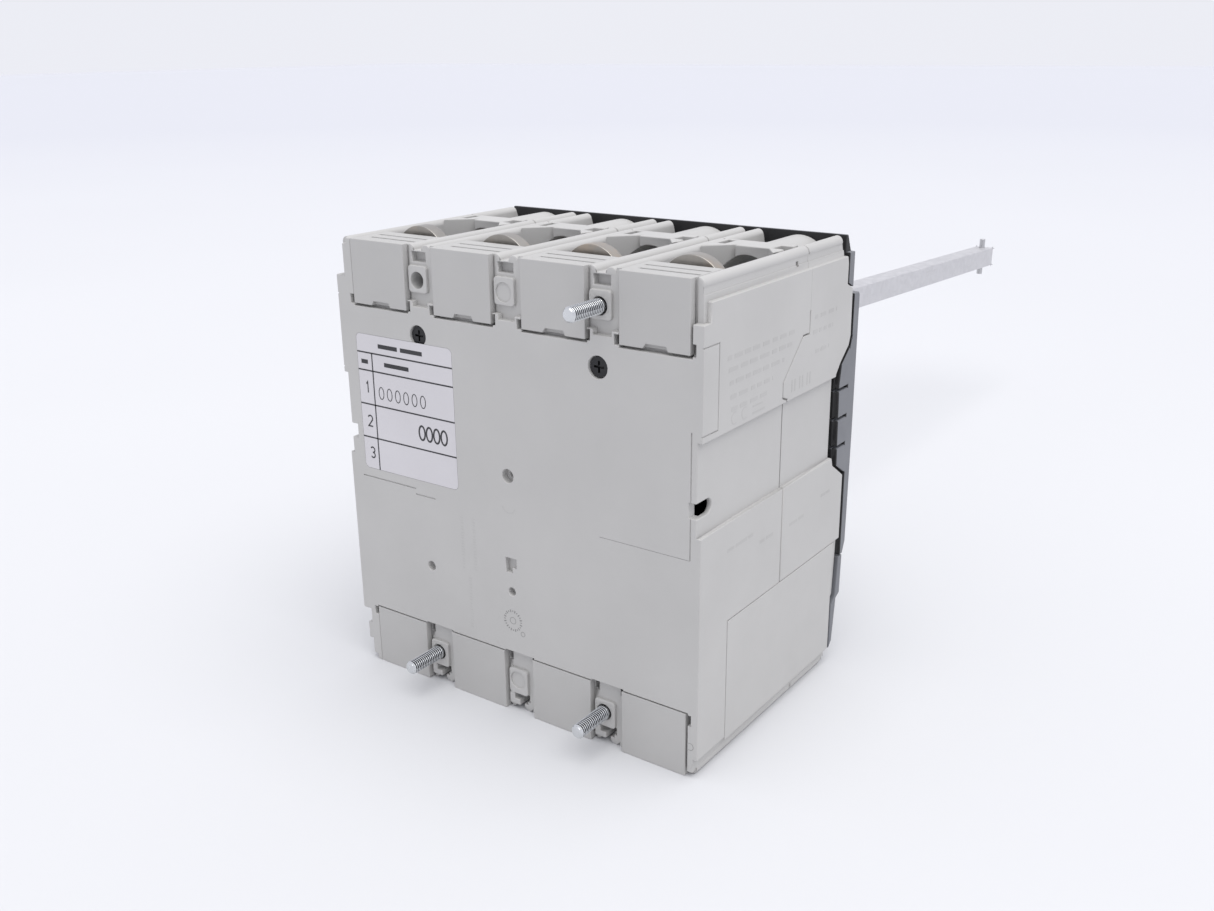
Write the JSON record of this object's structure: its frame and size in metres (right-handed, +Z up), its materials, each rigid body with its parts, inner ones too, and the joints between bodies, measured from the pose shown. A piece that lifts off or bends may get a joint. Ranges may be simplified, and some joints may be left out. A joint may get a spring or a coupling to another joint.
{
  "type": "air circuit breaker",
  "caption": "Moulded-case air circuit breaker seen as a bare unit, with front terminals, a rotary drive and a long square door-coupling shaft with a cross pin.",
  "frame": {"origin": "centre of the fixing pattern on the rear mounting plane", "axes": "+X across the poles, +Y out of the rear plane, +Z up; the front and the shaft face -Y"},
  "size_m": [0.12, 0.4293, 0.1317],
  "materials": {
    "light_housing": "fine spark-eroded moulding texture",
    "side_panel": "smooth matt moulding",
    "terminal_insert": "smooth matt moulding",
    "dark_mask": "satin moulding",
    "label_film": "satin coated sticker",
    "black_screw": "black zinc",
    "zinc_plate": "bright zinc plating",
    "tinned_copper": "dull tin plating on copper",
    "contact_copper": "drawn copper",
    "mechanism_steel": "stamped steel",
    "fibre_board": "vulcanised fibre",
    "spring_steel": "drawn wire",
    "bimetal": "rolled strip",
    "black_plastic": "satin moulding",
    "red_plastic": "polished moulding",
    "galvanised_shaft": "matt galvanised",
    "pin_steel": "ground steel pin"
  },
  "bodies": {
    "housing": {"base_housing": "light_housing", "cover_housing": "light_housing", "front_mask": "dark_mask", "mask_top_strip": "dark_mask", "mask_bottom_strip": "dark_mask", "side_panel_left": "side_panel", "side_panel_right": "side_panel", "rear_insert_top_1": "terminal_insert", "rear_insert_top_2": "terminal_insert", "rear_insert_top_3": "terminal_insert", "rear_insert_top_4": "terminal_insert", "rear_insert_bottom_1": "terminal_insert", "rear_insert_bottom_2": "terminal_insert", "rear_insert_bottom_3": "terminal_insert", "rear_insert_bottom_4": "terminal_insert", "identification_label": "label_film", "case_screws": "black_screw", "fixing_screws": "zinc_plate", "terminal_top_1": "tinned_copper", "terminal_top_2": "tinned_copper", "terminal_top_3": "tinned_copper", "terminal_top_4": "tinned_copper", "terminal_bottom_1": "tinned_copper", "terminal_bottom_2": "tinned_copper", "terminal_bottom_3": "tinned_copper", "terminal_bottom_4": "tinned_copper", "terminal_screws": "zinc_plate", "arc_plates_1": "mechanism_steel", "arc_plates_2": "mechanism_steel", "arc_plates_3": "mechanism_steel", "arc_plates_4": "mechanism_steel", "arc_cheeks": "fibre_board", "mechanism_frame": "mechanism_steel", "latch_lever": "mechanism_steel", "trip_unit_case": "black_plastic", "magnet_yokes": "mechanism_steel", "bimetal_strips": "bimetal", "trip_button_spring": "spring_steel", "drive_housing": "dark_mask", "drive_backplate": "black_plastic", "drive_screws": "zinc_plate"},
    "drive_hub": {"drive_hub": "black_plastic", "crank_pin": "mechanism_steel", "hub_clamp_screw": "mechanism_steel"},
    "shaft": {"shaft_rod": "galvanised_shaft", "cross_pin": "pin_steel"},
    "slide_plate": {"slide_plate": "mechanism_steel"},
    "toggle": {"toggle_lever": "black_plastic", "toggle_yoke": "mechanism_steel", "toggle_springs": "spring_steel"},
    "rotor": {"rotor": "black_plastic", "contact_bridge_1": "contact_copper", "contact_bridge_2": "contact_copper", "contact_bridge_3": "contact_copper", "contact_bridge_4": "contact_copper"},
    "trip_bar": {"trip_bar": "black_plastic"},
    "trip_button": {"trip_button": "red_plastic"}
  },
  "joints": [
    {"name": "drive_turn", "type": "hinge", "parent": "housing", "child": "drive_hub", "pos_m": [0.015, -0.113, 0.0165], "axis": [0, -1, 0], "range_deg": [0, 90]},
    {"name": "shaft_turn", "type": "hinge", "parent": "housing", "child": "shaft", "pos_m": [0.015, -0.113, 0.0165], "axis": [0, -0.9991, -0.0419], "range_deg": [0, 90]},
    {"name": "slide_travel", "type": "slide", "parent": "housing", "child": "slide_plate", "axis": [0, 0, 1], "range_m": [-0.01698, 0]},
    {"name": "toggle_swing", "type": "hinge", "parent": "housing", "child": "toggle", "pos_m": [0.015, -0.05, 0.0165], "axis": [1, 0, 0], "range_deg": [0, 25.47]},
    {"name": "rotor_turn", "type": "hinge", "parent": "housing", "child": "rotor", "pos_m": [0, -0.032, 0.006], "axis": [1, 0, 0], "range_deg": [0, 40]},
    {"name": "trip_button_push", "type": "slide", "parent": "housing", "child": "trip_button", "axis": [0, 1, 0], "range_m": [0, 0.0025], "stiffness_N_per_m": 300, "springref_m": -0.002, "deforming": ["trip_button_spring"]},
    {"name": "trip_bar_turn", "type": "hinge", "parent": "housing", "child": "trip_bar", "pos_m": [0, -0.062, -0.014], "axis": [1, 0, 0], "range_deg": [-6.56, 0]}
  ],
  "couplings": [
    {"joint": "shaft_turn", "follows": "drive_turn", "ratio": 1},
    {"joint": "slide_travel", "follows": "drive_turn", "m_per_rad": -0.010804},
    {"joint": "toggle_swing", "follows": "drive_turn", "ratio": 0.28294},
    {"joint": "rotor_turn", "follows": "drive_turn", "ratio": 0.44444},
    {"joint": "trip_bar_turn", "follows": "trip_button_push", "rad_per_m": -45.455}
  ]
}
